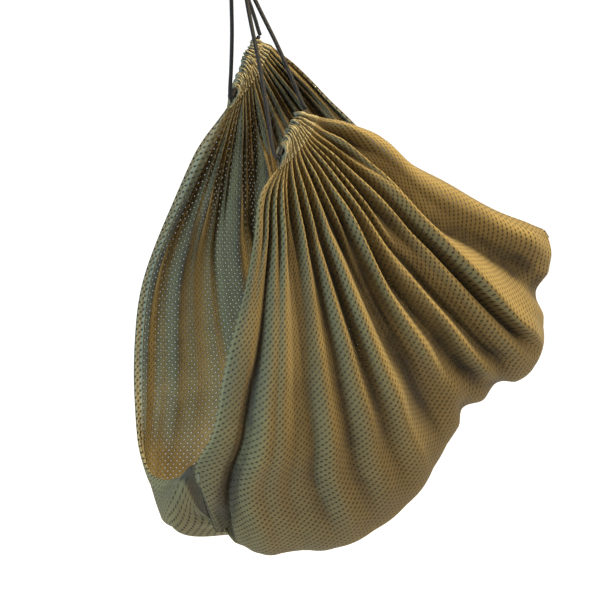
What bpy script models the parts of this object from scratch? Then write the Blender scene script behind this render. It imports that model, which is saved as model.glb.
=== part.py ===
"""A weigh sling, hanging from its two drawcord loops.

One rectangle of perforated knit mesh is folded at a keel, so it has a front half and a back
half. Each long end is turned over into a casing and gathered on a drawcord. The legs of each
drawcord rise to a knot with an eye, and both eyes hang on one hook at the origin.
X runs from the open mouth to the closed tail, -Y is the front, +Z is up, all in metres.
"""

import bmesh
import bpy
import numpy as np

# Overall size of the hanging sling
hang_drop = 0.165  # hang point down to the level that the heights below are taken from
sling_length = 0.400  # along X
sling_width = 0.200  # across, along Y
sling_height = 0.475  # down to the keel
front_bulge = 0.038  # how far the front swells past straight lines from hem to keel
back_bulge = 0.028
lip_sag = 0.069  # the lip under the mouth hangs this far below its rim
lip_aside = 0.035  # and this far out and back, clear of the front half all the way to the keel

# Cloth
cloth_width = 0.600  # mouth end to tail end, laid flat
cloth_thickness = 0.0016
fold_height = 0.020  # the deepest fold, from the mean surface
hem_width = 0.012
hem_thickness = 0.0010
seam_inset = 0.0020  # each half kept back from the line of the mouth seam
seam_allowance = 0.008
seam_thickness = 0.0010
tack_length = 0.010
tack_width = 0.0024
tack_thickness = 0.0014

# Casings
casing_depth = 0.015  # cord axis to the row of stitches
casing_wall = 0.0018
stitched_edge = 0.0012  # half the thickness of the casing where it is stitched down
ruffle_height = 0.0012
front_gather = 0.0455  # hem of the front half, drawn up on its cord
back_gather = 0.0575

# Drawcords
cord_diameter = 0.0040
cord_clearance = 0.0005  # cord to the wall of its casing
cord_exit = 0.0044  # straight cord past each end of its casing, before a leg turns up
knot_length = 0.0135  # along the knot, between the middles of its first and last turns
eye_width = 0.0120
eye_gap = 0.0006  # between the two eyes on the hook
front_knot = (0.006, -0.015, -0.041)
back_knot = (0.004, 0.011, -0.031)
leg_bow = 0.0012  # a leg stands this far off a straight line at its middle
leg_bend = 0.0095  # radius of the bend where a leg leaves its casing

# Clearance between pieces that touch
gap = 0.0003

# Places and directions of the gathers
front_gather_shares = (0.088, -0.3725, 0.045)
back_gather_shares = (0.089, 0.3875, -0.022)
front_axis_shares = (0.616, 0.462, 0.638)
back_axis_shares = (0.504, 0.278, 0.817)

# Directions from the cord to the row of stitches, at the mouth end, the middle and the tail end
front_fan_shares = ((-0.25, -0.22, -0.94), (0.43, -0.39, -0.82), (0.96, 0.13, -0.26))
back_fan_shares = ((-0.32, 0.04, -0.95), (0.52, 0.14, -0.84), (0.93, -0.10, -0.36))

# Edges of the cloth, as shares of the sling's length, width and height
front_mouth_shares = (
    (0.002, -0.465, 0.150),
    (-0.020, -0.490, 0.240),
    (-0.057, -0.500, 0.374),
    (-0.100, -0.485, 0.531),
    (-0.127, -0.425, 0.664),
)
back_mouth_shares = (
    (-0.017, 0.360, 0.133),
    (-0.094, 0.390, 0.264),
    (-0.173, 0.420, 0.424),
    (-0.200, 0.420, 0.560),
    (-0.208, 0.390, 0.695),
    (-0.214, 0.290, 0.790),
    (-0.208, 0.150, 0.822),
    (-0.195, 0.000, 0.815),
    (-0.176, -0.175, 0.783),
)
mouth_seam_shares = ((-0.155, -0.340, 0.731), (-0.116, -0.225, 0.856), (-0.083, -0.140, 0.922))
front_ridge_shares = (
    (0.234, -0.290, 0.050),
    (0.312, -0.270, 0.078),
    (0.411, -0.235, 0.144),
    (0.552, -0.180, 0.220),
    (0.670, -0.130, 0.281),
    (0.752, -0.085, 0.316),
)
back_ridge_shares = (
    (0.272, 0.395, 0.034),
    (0.354, 0.360, 0.106),
    (0.485, 0.300, 0.215),
    (0.610, 0.230, 0.295),
    (0.728, 0.125, 0.338),
)
keel_shares = (
    (-0.024, -0.140, 0.951),
    (0.045, -0.135, 0.986),
    (0.154, -0.120, 0.999),
    (0.272, -0.110, 0.996),
    (0.381, -0.105, 0.957),
    (0.473, -0.095, 0.896),
    (0.537, -0.085, 0.815),
    (0.582, -0.070, 0.755),
    (0.633, -0.060, 0.713),
    (0.713, -0.045, 0.682),
    (0.785, -0.030, 0.655),
    (0.818, -0.020, 0.595),
    (0.820, -0.020, 0.500),
    (0.831, -0.020, 0.406),
)
tip_shares = (0.810, -0.025, 0.341)
lip_shares = (-0.35, 0.40, -0.90)  # the way that the lip hangs
lip_aside_shares = (-0.80, 0.50, 0.00)  # and the way that it stands aside
lip_across_share = 0.276  # the lip's reach across the cloth, from the mouth edge
lip_down_shares = (0.454, 0.967)  # and where down the cloth it starts and ends
front_seam_share = 0.77  # the mouth edges are sewn from these shares of their length down
back_seam_share = 0.84
inside_shares = (0.020, 0.080, 0.700)  # a point well inside the sling
tail_seam_share = 0.78  # the tail is sewn from this share of the keel line to the tip

# Main folds: where each lies on the keel line, its height as a share of fold_height, and the
# share of that height which is left at the keel itself
fold_shares = (
    (0.000, 0.00, 0.0),
    (0.030, -0.30, 0.6),
    (0.127, 0.25, 0.5),
    (0.228, -0.35, 0.3),
    (0.274, 0.20, 0.2),
    (0.322, -0.40, 0.2),
    (0.368, 0.35, 0.2),
    (0.405, -0.40, 0.2),
    (0.458, 0.45, 0.2),
    (0.507, -0.60, 0.3),
    (0.565, 0.60, 0.3),
    (0.616, -0.60, 0.4),
    (0.656, 0.40, 0.5),
    (0.690, -0.55, 0.5),
    (0.728, 0.50, 0.5),
    (0.765, -0.80, 0.4),
    (0.820, 1.00, 0.4),
    (0.890, -0.90, 0.6),
    (0.955, 0.45, 0.6),
    (1.000, 0.00, 0.0),
)
row_count = 16
ruffle_count = 9
leg_points = 28
turn_count = 3
turn_points = 12


def place(shares):
    """Shares of the sling's length, width and height, as points."""
    size = np.array((sling_length, sling_width, -sling_height))
    return np.asarray(shares, float) * size - np.array((0.0, 0.0, hang_drop))


def unit(v):
    v = np.asarray(v, float)
    return v / np.linalg.norm(v, axis=-1, keepdims=True)


def square_to(v, along):
    """The part of v at right angles to a unit direction, made a unit."""
    return unit(v - along * np.sum(v * along, axis=-1, keepdims=True))


def ease(t):
    t = np.clip(t, 0.0, 1.0)
    return t * t * (3 - 2 * t)


def smooth(points, at):
    """Points on a smooth curve through the given ones, at shares of its length."""
    points = np.asarray(points, float)
    run = np.concatenate([[0.0], np.cumsum(np.linalg.norm(np.diff(points, axis=0), axis=1))])
    slopes = np.gradient(points, run, axis=0)
    fine = np.linspace(0.0, run[-1], 400)
    i = np.clip(np.searchsorted(run, fine, side="right") - 1, 0, len(run) - 2)
    step = (run[i + 1] - run[i])[:, None]
    t = (fine - run[i])[:, None] / step
    curve = (
        points[i] * (2 * t**3 - 3 * t**2 + 1)
        + slopes[i] * step * (t**3 - 2 * t**2 + t)
        + points[i + 1] * (3 * t**2 - 2 * t**3)
        + slopes[i + 1] * step * (t**3 - t**2)
    )
    run = np.concatenate([[0.0], np.cumsum(np.linalg.norm(np.diff(curve, axis=0), axis=1))])
    at = np.asarray(at, float) * run[-1]
    return np.stack([np.interp(at, run, curve[:, k]) for k in range(3)], axis=-1)


def fold_rise(at, column):
    """A column of the fold table, easing from each fold to the next."""
    table = np.asarray(fold_shares, float)
    i = np.clip(np.searchsorted(table[:, 0], at, side="right") - 1, 0, len(table) - 2)
    t = (at - table[i, 0]) / (table[i + 1, 0] - table[i, 0])
    return table[i, column] + (table[i + 1, column] - table[i, column]) * (1 - np.cos(np.pi * t)) / 2


# The gathers, and the two halves of the cloth


def gather_ends(centre_shares, axis_shares, length):
    """Both mouths of a casing, on the axis of its cord: mouth side first, tail side second."""
    centre, along = place(centre_shares), unit(axis_shares)
    return np.stack([centre - along * length / 2, centre + along * length / 2])


def fan_directions(fans, at):
    at = np.asarray(at, float)[:, None]
    first, middle, last = unit(fans)
    return unit(first * (1 - at) ** 2 + middle * 2 * at * (1 - at) + last * at**2)


def hem_row(ends, fans, at):
    """The row of stitches where the cloth leaves its casing."""
    at = np.asarray(at, float)
    return ends[0] + (ends[1] - ends[0]) * at[:, None] + fan_directions(fans, at) * casing_depth


front_ends = gather_ends(front_gather_shares, front_axis_shares, front_gather)
back_ends = gather_ends(back_gather_shares, back_axis_shares, back_gather)
mouth_seam = place(mouth_seam_shares)
keel_line = np.vstack([mouth_seam[-1:], place(keel_shares), place(tip_shares)[None]])


def keel_outward(across):
    """Directions out of the sling at the keel line, level with it and square to it."""
    step_share = 0.01
    before, after = np.maximum(across - step_share, 0), np.minimum(across + step_share, 1)
    along = smooth(keel_line, after) - smooth(keel_line, before)
    return unit(np.stack([along[:, 2], np.zeros(len(along)), -along[:, 0]], axis=-1))


def outward_normals(grid, front):
    normal = unit(np.cross(np.gradient(grid, axis=1), np.gradient(grid, axis=0)))
    middle = normal[normal.shape[0] // 2, normal.shape[1] // 2]
    return normal if (middle[1] < 0) == front else -normal


def half_sheet(front, across, down):
    """The middle surface of one half of the cloth, as a grid of points, and its normals.

    across runs from the mouth edge to the tail edge, and down from the hem to the keel. The grid
    blends the hem, the keel and the two side edges, and swells between them. Folds then move it
    along its normal, which turns to the keel's own outward direction at the keel.
    """
    across, down = np.asarray(across, float), np.asarray(down, float)
    ends, fans = (front_ends, front_fan_shares) if front else (back_ends, back_fan_shares)
    mouth = place(front_mouth_shares if front else back_mouth_shares)
    ridge = place(front_ridge_shares if front else back_ridge_shares)
    near, far = hem_row(ends, fans, [0.0, 1.0])
    seam_along = unit(mouth_seam[-1] - mouth_seam[0])
    aside = square_to(np.array((1.0 if front else -1.0, 0.0, 0.0)), seam_along) * seam_inset
    mouth_edge = smooth(np.vstack([near[None], mouth, mouth_seam + aside]), down)
    tail_edge = smooth(np.vstack([far[None], ridge, keel_line[-1:]]), down)
    p, q = across[None, :, None], down[:, None, None]
    grid = hem_row(ends, fans, across)[None] * (1 - q) + smooth(keel_line, across)[None] * q
    grid += (mouth_edge[:, None] - near * (1 - q) - keel_line[0] * q) * (1 - p) ** 2
    grid += (tail_edge[:, None] - far * (1 - q) - keel_line[-1] * q) * p**2
    swell = 2.74 * q * (1 - q) ** 0.55 * np.sin(np.pi * p) ** 0.6
    grid[..., 1:2] += swell * (-front_bulge if front else back_bulge)
    if not front:
        reach = np.clip(p / lip_across_share, 0, 1)
        side = np.sin(np.pi * reach**0.7) ** (0.9 + 0.5 * reach)
        first, last = lip_down_shares
        low = np.sin(np.pi * np.clip((q - first) / (last - first), 0, 1) ** 2.0) ** 1.3
        grid += side * low * lip_sag * unit(lip_shares)
        side = np.sin(np.pi * np.clip(p / 0.28, 0, 1)) ** 0.8
        low = np.sin(np.pi * np.clip((q - 0.45) / 0.55, 0, 1) ** 1.7)
        grid += side * low * lip_aside * unit(lip_aside_shares)
    turn = ease((q - 0.8) / 0.2)
    outward = unit(outward_normals(grid, front) * (1 - turn) + keel_outward(across)[None] * turn)
    left = 1 - (1 - fold_rise(across, 2)[None, :, None]) * ease((q - 0.6) / 0.4)
    near_seam = (1 - ease(p / 0.15)) * ease((q - 0.6) / 0.15)
    height = fold_rise(across, 1)[None, :, None] * fold_height * ease(q / 0.35) * left * (1 - near_seam)
    grid = grid + outward * height
    turn = ease((q - 0.94) / 0.06)
    return grid, unit(outward_normals(grid, front) * (1 - turn) + keel_outward(across)[None] * turn)


# Objects


def finish(name, color, roughness):
    new = bpy.data.materials.new(name)
    new.use_nodes = True
    shader = new.node_tree.nodes["Principled BSDF"]
    shader.inputs["Base Color"].default_value = (*color, 1.0)
    shader.inputs["Roughness"].default_value = roughness
    shader.inputs["Metallic"].default_value = 0.0
    return new


def add_object(name, data, look):
    new = bpy.data.objects.new(name, data)
    bpy.context.scene.collection.objects.link(new)
    data.materials.append(look)
    return new


def add_solid(name, points, faces, look):
    """A closed mesh with its faces turned outwards."""
    mesh = bpy.data.meshes.new(name)
    mesh.from_pydata(points.reshape(-1, 3).tolist(), [], faces)
    shape = bmesh.new()
    shape.from_mesh(mesh)
    bmesh.ops.recalc_face_normals(shape, faces=shape.faces)
    shape.to_mesh(mesh)
    shape.free()
    mesh.shade_smooth()
    return add_object(name, mesh, look)


def joined_rings(count, sides):
    """Faces between each ring of points and the next, and from the last to the first."""
    i, j = np.meshgrid(np.arange(count), np.arange(sides), indexing="ij")
    after, beside = (i + 1) % count, (j + 1) % sides
    corners = (i * sides + j, i * sides + beside, after * sides + beside, after * sides + j)
    return np.stack(corners, axis=-1).reshape(-1, 4).tolist()


def cloth_between(name, outer, inner, look):
    """A closed sheet between two grids of points, with the same diagonals on both its faces."""
    rows, lines = outer.shape[:2]
    number = np.arange(rows * lines).reshape(rows, lines)
    a, b, c, d = number[:-1, :-1], number[:-1, 1:], number[1:, 1:], number[1:, :-1]
    halves = np.concatenate([np.stack([a, b, c], axis=-1), np.stack([a, c, d], axis=-1)]).reshape(-1, 3)
    rim = np.concatenate([number[0, :-1], number[:-1, -1], number[-1, :0:-1], number[:0:-1, 0]])
    other = rows * lines
    wall = np.stack([np.roll(rim, -1), rim, rim + other, np.roll(rim, -1) + other], axis=-1)
    faces = halves.tolist() + (halves[:, ::-1] + other).tolist() + wall.tolist()
    add_solid(name, np.stack([outer, inner]), faces, look)


def sheet_along(name, grid, normal, shift, thickness, look):
    """A sheet of cloth parallel to a grid, moved out along its normals by shift."""
    middle = grid + normal * shift
    return cloth_between(name, middle + normal * thickness / 2, middle - normal * thickness / 2, look)


def cord(name, points, look):
    """A round cord through the given points."""
    data = bpy.data.curves.new(name, "CURVE")
    data.dimensions = "3D"
    data.bevel_depth = cord_diameter / 2
    data.bevel_resolution = 2
    data.use_fill_caps = True
    line = data.splines.new("POLY")
    line.points.add(len(points) - 1)
    for point, xyz in zip(line.points, points):
        point.co = (*xyz, 1.0)
    return add_object(name, data, look)


for old in list(bpy.data.objects):
    bpy.data.objects.remove(old)

mesh_look = finish("olive_mesh", (0.135, 0.115, 0.060), 0.75)
hem_look = finish("olive_hem", (0.150, 0.130, 0.075), 0.75)
thread_look = finish("olive_thread", (0.110, 0.095, 0.055), 0.6)
cord_look = finish("black_cord", (0.012, 0.012, 0.014), 0.6)

# Columns of the cloth stand on each fold, between two folds and at the edge of each side hem
fold_places = np.array([row[0] for row in fold_shares])
between_folds = (fold_places[2:-1] + fold_places[1:-2]) / 2
hem_share = hem_width / cloth_width
across = np.sort(np.concatenate([fold_places, between_folds, [hem_share, 1 - hem_share]]))
first_row = gap / sling_height
last_row = 1 - gap / sling_height
down = first_row + (1 - (1 - np.linspace(0.0, 1.0, row_count)) ** 1.15) * (last_row - first_row)
lined = -(cloth_thickness / 2 + gap + hem_thickness / 2)


def add_cloth(side):
    """One half of the mesh cloth and the turned hems inside its mouth edge and its tail edge."""
    grid, normal = half_sheet(side == "front", across, down)
    sheet_along(f"{side}_mesh", grid, normal, 0.0, cloth_thickness, mesh_look)
    free = down < (front_seam_share if side == "front" else back_seam_share) - 0.02
    free[0] = False
    mouth, tail = np.flatnonzero(across <= hem_share), np.flatnonzero(across >= 1 - hem_share)
    sheet_along(f"{side}_mouth_hem", grid[free][:, mouth], normal[free][:, mouth], lined, hem_thickness, hem_look)
    free = (down > down[0]) & (down < 0.95)
    sheet_along(f"{side}_tail_hem", grid[free][:, tail], normal[free][:, tail], lined, hem_thickness, hem_look)
    return grid, normal


def add_casing(side, ends, fans):
    """A ruffled sleeve round the cord, which narrows to its row of stitches."""
    along = unit(ends[1] - ends[0])
    stations = np.linspace(0.0, 1.0, ruffle_count * 4 + 1)
    fan = fan_directions(fans, stations)
    sideways = unit(np.cross(along, fan))
    upward = np.cross(sideways, along)
    middle = ends[0] + (ends[1] - ends[0]) * stations[:, None]
    bore = cord_diameter / 2 + cord_clearance
    tall = ruffle_height * (1 - np.cos(2 * np.pi * ruffle_count * stations)) / 2
    turns = np.radians((150, 110, 70, 30, -20, -70, -110, -160))
    circle = sideways[:, None] * np.cos(turns)[:, None] - upward[:, None] * np.sin(turns)[:, None]
    outer = middle[:, None] + (bore + casing_wall + tall)[:, None, None] * circle
    for column, reach_share, half_edge in ((4, 0.6, 1.5), (5, 1.0, 1.0), (6, 1.0, -1.0), (7, 0.6, -1.5)):
        outer[:, column] = middle + fan * (casing_depth - gap) * reach_share + sideways * stitched_edge * half_edge
    inner = middle[:, None] + bore * circle
    rings = np.concatenate([outer, inner[[-1, 0]]])
    add_solid(f"{side}_casing", rings, joined_rings(len(rings), len(turns)), hem_look)


def leg_route(start, outward, entry, up):
    """A leg's points: square to its casing, round a bend until it points at the knot, then straight."""
    elbow = square_to(entry - start, outward)
    finish = entry - up * cord_diameter
    corner = start
    for _ in range(4):
        toward = unit(finish - corner)
        turn = np.arccos(np.clip(toward @ elbow, -1.0, 1.0))
        corner = start + leg_bend * (elbow * np.sin(turn) + square_to(toward, elbow) * (1 - np.cos(turn)))
    aside = square_to(toward, elbow)
    angles = np.linspace(0.0, turn, 5)
    arc = [start + leg_bend * (elbow * np.sin(a) + aside * (1 - np.cos(a))) for a in angles]
    bow = square_to(np.array((1.0, 0.0, 0.0)), toward) * leg_bow
    straight = [corner * 0.8 + finish * 0.2 + bow * 0.6, (corner + finish) / 2 + bow, corner * 0.15 + finish * 0.85]
    return [*arc, *straight, finish, entry]


def add_drawcord(side, ends, knot, eye_side):
    """The cord in its casing, its two legs, the turns of its knot and the eye above the knot."""
    along = unit(ends[1] - ends[0])
    out = along * cord_exit
    cord(f"{side}_cord_gathered", np.linspace(ends[0] - out, ends[1] + out, 20), cord_look)
    knot = np.array(knot)
    top = np.array((0.0, eye_side * (cord_diameter + eye_gap) / 2, cord_diameter / 2))
    length = np.linalg.norm(top - knot)
    up = (top - knot) / length
    right = square_to(np.array((1.0, 0.0, 0.0)), up)
    away = np.cross(up, right)
    strand = (cord_diameter + gap) / 2  # each strand through the knot, from its middle
    half_knot = knot_length / 2 + cord_diameter
    bend = eye_width / 2
    for end, outward, hand, name in ((ends[0], -along, -1, "mouth"), (ends[1], along, 1, "tail")):
        start = end + outward * (cord_exit + cord_diameter / 2 + 3 * gap)
        entry = knot - up * (half_knot + gap) + right * hand * strand
        route = leg_route(start, outward, entry, up)
        cord(f"{side}_cord_{name}_leg", smooth(route, np.linspace(0.0, 1.0, leg_points)), cord_look)
    # The eye: up through the knot, out to its full width, over the hook and back
    shoulder = length - bend
    rise = np.linspace(half_knot, shoulder, 6)
    spread = strand + (bend - strand) * ease((rise - half_knot) / (shoulder - half_knot))
    over = np.linspace(0.0, np.pi / 2, 5)[1:]
    heights = np.concatenate([[-half_knot, 0.0], rise, shoulder + bend * np.sin(over)])
    widths = np.concatenate([[strand, strand], spread, bend * np.cos(over)])
    heights, widths = np.concatenate([heights, heights[-2::-1]]), np.concatenate([widths, -widths[-2::-1]])
    cord(f"{side}_cord_eye", knot + heights[:, None] * up + widths[:, None] * right, cord_look)
    # The turns of the knot, wound round both strands
    turn = np.linspace(0.0, turn_count * 2 * np.pi, turn_count * turn_points + 1)
    wide = strand + cord_diameter + gap
    deep = cord_diameter * 1.2
    wound = (
        knot
        + up * (turn / turn[-1] - 0.5)[:, None] * knot_length
        + right * np.cos(turn)[:, None] * wide
        + away * np.sin(turn)[:, None] * deep
    )
    cord(f"{side}_cord_knot", wound, cord_look)
    apart = np.linalg.norm(wound[turn_points:, None] - wound[None, :-turn_points], axis=2)
    later = np.arange(len(wound) - turn_points)
    apart = apart[later[:, None] >= later[None]].min() - cord_diameter
    print(f"{side} knot: its turns are at least {apart * 1000:.2f} mm apart")


def add_mouth_seam():
    """The allowance of the mouth seam, a fin inside the line where both mouth edges are sewn."""
    line = smooth(mouth_seam, np.linspace(0.40, 0.80, 5))
    along = unit(np.gradient(line, axis=0))
    inward = square_to(place(inside_shares) - line, along)
    grid = line[:, None] + inward[:, None] * np.array((seam_inset, seam_allowance))[None, :, None]
    normal = np.repeat(np.cross(along, inward)[:, None], 2, axis=1)
    sheet_along("mouth_seam", grid, normal, 0.0, seam_thickness, hem_look)


def add_tail_seam(keel, outward):
    """The allowance of the tail seam, a fin inside the keel line between its start and the tip."""
    sewn = (across > tail_seam_share) & (across < 0.97)
    line, outward = keel[sewn], outward[sewn]
    reach = np.array((cloth_thickness / 2 + gap, seam_allowance))
    grid = line[:, None] - outward[:, None] * reach[None, :, None]
    normal = np.repeat(unit(np.cross(np.gradient(line, axis=0), outward))[:, None], 2, axis=1)
    sheet_along("tail_seam", grid, normal, 0.0, seam_thickness, hem_look)


def add_mouth_tack():
    """A bar tack at the top of the mouth seam, through the hem of the front half."""
    row = np.searchsorted(down, front_seam_share)
    drop = tack_length / np.linalg.norm(front_grid[row + 1, 0] - front_grid[row, 0])
    in_shares = (np.array((0.5, 1.5)) * tack_width + seam_inset) / hem_width
    at = np.array((0.0, drop))[:, None, None], in_shares[None, :, None]

    def between(cell):
        top = cell[0, 0] * (1 - at[1]) + cell[0, 1] * at[1]
        foot = cell[1, 0] * (1 - at[1]) + cell[1, 1] * at[1]
        return top * (1 - at[0]) + foot * at[0]

    normal = unit(between(front_normal[row : row + 2, :2]))
    shift = cloth_thickness / 2 + gap + tack_thickness / 2
    grid = between(front_grid[row : row + 2, :2])
    sheet_along("mouth_bar_tack", grid, normal, shift, tack_thickness, thread_look)


def add_tail_tack():
    """A bar tack bent over the keel at the top of the tail seam."""
    share = tack_length / 2 / ((down[-1] - down[-2]) * sling_height)
    front = front_grid[-1, -2] * (1 - share) + front_grid[-2, -2] * share
    back = back_grid[-1, -2] * (1 - share) + back_grid[-2, -2] * share
    points = np.stack([front, (front_grid[-1, -2] + back_grid[-1, -2]) / 2, back])
    normals = np.stack([front_normal[-2, -2], front_normal[-1, -2], back_normal[-2, -2]])
    along = unit(front_grid[-1, -1] - front_grid[-1, -3])
    grid = points[None] + along * np.array((-0.5, 0.5))[:, None, None] * tack_width
    shift = cloth_thickness / 2 + gap * 2 + tack_thickness / 2
    sheet_along("tail_bar_tack", grid, np.stack([normals] * 2), shift, tack_thickness, thread_look)


front_grid, front_normal = add_cloth("front")
back_grid, back_normal = add_cloth("back")
add_casing("front", front_ends, front_fan_shares)
add_casing("back", back_ends, back_fan_shares)
add_drawcord("front", front_ends, front_knot, -1)
add_drawcord("back", back_ends, back_knot, 1)
add_mouth_seam()
add_tail_seam((front_grid[-1] + back_grid[-1]) / 2, front_normal[-1])
add_mouth_tack()
add_tail_tack()
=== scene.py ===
import bpy
import numpy as np
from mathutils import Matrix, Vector


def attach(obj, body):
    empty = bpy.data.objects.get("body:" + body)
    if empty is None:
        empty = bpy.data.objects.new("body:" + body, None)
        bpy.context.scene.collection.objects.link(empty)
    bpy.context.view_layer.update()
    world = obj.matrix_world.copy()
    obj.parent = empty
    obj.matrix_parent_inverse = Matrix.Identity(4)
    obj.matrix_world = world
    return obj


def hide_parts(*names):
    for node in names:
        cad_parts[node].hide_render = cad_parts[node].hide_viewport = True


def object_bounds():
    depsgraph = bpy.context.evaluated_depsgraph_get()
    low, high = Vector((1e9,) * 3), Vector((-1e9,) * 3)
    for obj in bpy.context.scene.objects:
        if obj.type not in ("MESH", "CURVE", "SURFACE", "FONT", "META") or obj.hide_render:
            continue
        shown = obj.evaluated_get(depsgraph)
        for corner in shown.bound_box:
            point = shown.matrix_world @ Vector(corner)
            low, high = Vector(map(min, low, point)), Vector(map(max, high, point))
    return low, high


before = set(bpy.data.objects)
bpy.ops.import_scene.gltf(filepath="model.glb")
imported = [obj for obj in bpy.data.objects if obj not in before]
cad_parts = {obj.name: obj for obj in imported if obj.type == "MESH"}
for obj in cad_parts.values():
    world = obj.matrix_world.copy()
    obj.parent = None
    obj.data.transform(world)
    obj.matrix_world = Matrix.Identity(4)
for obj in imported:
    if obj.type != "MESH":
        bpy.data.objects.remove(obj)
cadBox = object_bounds()
print("stage: frame loaded")

milli = 0.001  # for lengths in millimetres and places in thousandths

# Small vector tools


def unit(v):
    v = np.asarray(v, float)
    return v / np.maximum(np.linalg.norm(v, axis=-1, keepdims=True), 1e-12)


def squareTo(v, along):
    # The part of v at right angles to a unit direction, made a unit
    return unit(v - along * np.sum(v * along, axis=-1, keepdims=True))


def ease(t):
    # A smooth step from 0 to 1: three t squared less two t cubed
    t = np.clip(t, 0.0, 1.0)
    return t * t * (3 - 2 * t)


def ramp(t, start, over):
    # An eased step from 0 at the start to 1 at its end
    return ease((t - start) / over)


def runOf(path):
    # How far along a path each of its points lies
    return np.concatenate([[0.0], np.cumsum(np.linalg.norm(np.diff(path, axis=0), axis=1))])


def readAt(at, run, values):
    # Rows of three values, read between their places by straight lines
    return np.stack([np.interp(at, run, values[:, k]) for k in range(3)], axis=-1)


def smoothCurve(points, at, fine=1200):
    # A cubic through every point, its slopes taken from the neighbours, read at shares of its length
    points = np.asarray(points, float)
    run = runOf(points)
    slopes = np.gradient(points, run, axis=0)
    steps = np.linspace(0.0, run[-1], fine)
    i = np.clip(np.searchsorted(run, steps, side="right") - 1, 0, len(run) - 2)
    size = (run[i + 1] - run[i])[:, None]
    t = (steps - run[i])[:, None] / size
    curve = (
        points[i] * (2 * t**3 - 3 * t**2 + 1)
        + slopes[i] * size * (t**3 - 2 * t**2 + t)
        + points[i + 1] * (3 * t**2 - 2 * t**3)
        + slopes[i + 1] * size * (t**3 - t**2)
    )
    run = runOf(curve)
    return readAt(np.asarray(at, float) * run[-1], run, curve)


def tableWave(table, at):
    # Eases along a cosine from the value in each row of a table to the next
    place, value = np.array(table, float).T
    i = np.clip(np.searchsorted(place, at, side="right") - 1, 0, len(place) - 2)
    t = (at - place[i]) / (place[i + 1] - place[i])
    return value[i] + (value[i + 1] - value[i]) * (1 - np.cos(np.pi * t)) / 2


def ripples(p, q, seed, count, widest, finest):
    # A sum of sine waves in seeded directions, lengths and phases, from about -1 to 1
    rng = np.random.default_rng(seed)
    turn, phase = rng.uniform(0, np.pi, count), rng.uniform(0, 2 * np.pi, count)
    pace = np.exp(rng.uniform(np.log(widest), np.log(finest), count))
    total = 0.0
    for a, b, c in zip(turn, phase, pace):
        total = total + np.sin(2 * np.pi * c * (np.cos(a) * p + np.sin(a) * q) + b)
    return total / np.sqrt(count * 2.0)


# Meshes


def quads(rows, columns, closed=False):
    # Quads between neighbouring rows and columns; closed joins the last column to the first
    i, j = np.meshgrid(np.arange(rows - 1), np.arange(columns if closed else columns - 1), indexing="ij")
    k = (j + 1) % columns
    corners = (i * columns + j, (i + 1) * columns + j, (i + 1) * columns + k, i * columns + k)
    return np.stack(corners, axis=-1).reshape(-1, 4)


def cornerUv(uv):
    # The same quads' corners, read from a grid of UVs
    return np.stack([uv[:-1, :-1], uv[1:, :-1], uv[1:, 1:], uv[:-1, 1:]], axis=2).reshape(-1, 4, 2)


def joined(parts):
    # Several surfaces as one, each with its face numbers moved on past the points before it
    starts = np.cumsum([0] + [len(part[0]) for part in parts[:-1]])
    points, faces, uvs, folds = zip(*parts)
    faces = [face + start for face, start in zip(faces, starts)]
    return [np.concatenate(each) for each in (points, faces, uvs, folds)]


def addObject(name, data):
    made = bpy.data.objects.new(name, data)
    bpy.context.scene.collection.objects.link(made)
    return made


def addPiece(name, part, material, body, replaces=()):
    # One mesh object at the origin, its faces turned so that the closed shape has a positive volume
    points, faces, uv, foldLightShade = part
    a, b, c, d = (points[faces[:, k]] for k in range(4))
    if np.sum(a * np.cross(b, c)) + np.sum(a * np.cross(c, d)) < 0:
        faces, uv = faces[:, ::-1], uv[:, ::-1]
    mesh = bpy.data.meshes.new(name)
    mesh.from_pydata(points.tolist(), [], faces.tolist())
    mesh.uv_layers.new(name="cloth").data.foreach_set("uv", np.ascontiguousarray(uv, float).ravel())
    # A mask of painted light and shade: paler on crests, darker in troughs
    mesh.attributes.new("foldLightShade", "FLOAT", "POINT").data.foreach_set("value", foldLightShade.astype(np.float32))
    mesh.shade_smooth()
    mesh.materials.append(material)
    made = addObject(name, mesh)
    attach(made, body)
    if replaces:
        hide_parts(*replaces)
    return made


def thickSheet(middle, normal, thickness, cornerUvs, foldLightShade):
    # A closed sheet: the middle surface moved out and in by half the thickness, and a wall round the rim
    rows, columns = middle.shape[:2]
    count = rows * columns
    face = quads(rows, columns)
    number = np.arange(count).reshape(rows, columns)
    rim = np.concatenate([number[0, :-1], number[:-1, -1], number[-1, :0:-1], number[:0:-1, 0]])
    after = np.roll(rim, -1)
    wall = np.stack([after, rim, rim + count, after + count], axis=-1)
    uvOf = np.zeros((count, 2))
    uvOf[face.ravel()] = cornerUvs.reshape(-1, 2)
    wallUv = np.stack([uvOf[after], uvOf[rim], uvOf[rim], uvOf[after]], axis=1)
    points = np.concatenate([middle + normal * thickness / 2, middle - normal * thickness / 2]).reshape(-1, 3)
    faces = np.concatenate([face, face[:, ::-1] + count, wall])
    uvs = np.concatenate([cornerUvs, cornerUvs[:, ::-1], wallUv])
    return [points, faces, uvs, np.tile(foldLightShade.reshape(-1), 2)]


# Shares of the radius: how far out each tip's two rings lie, and how wide they are
tipOut, tipWide = (0.45, 0.315), (0.02, 0.7)


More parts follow.
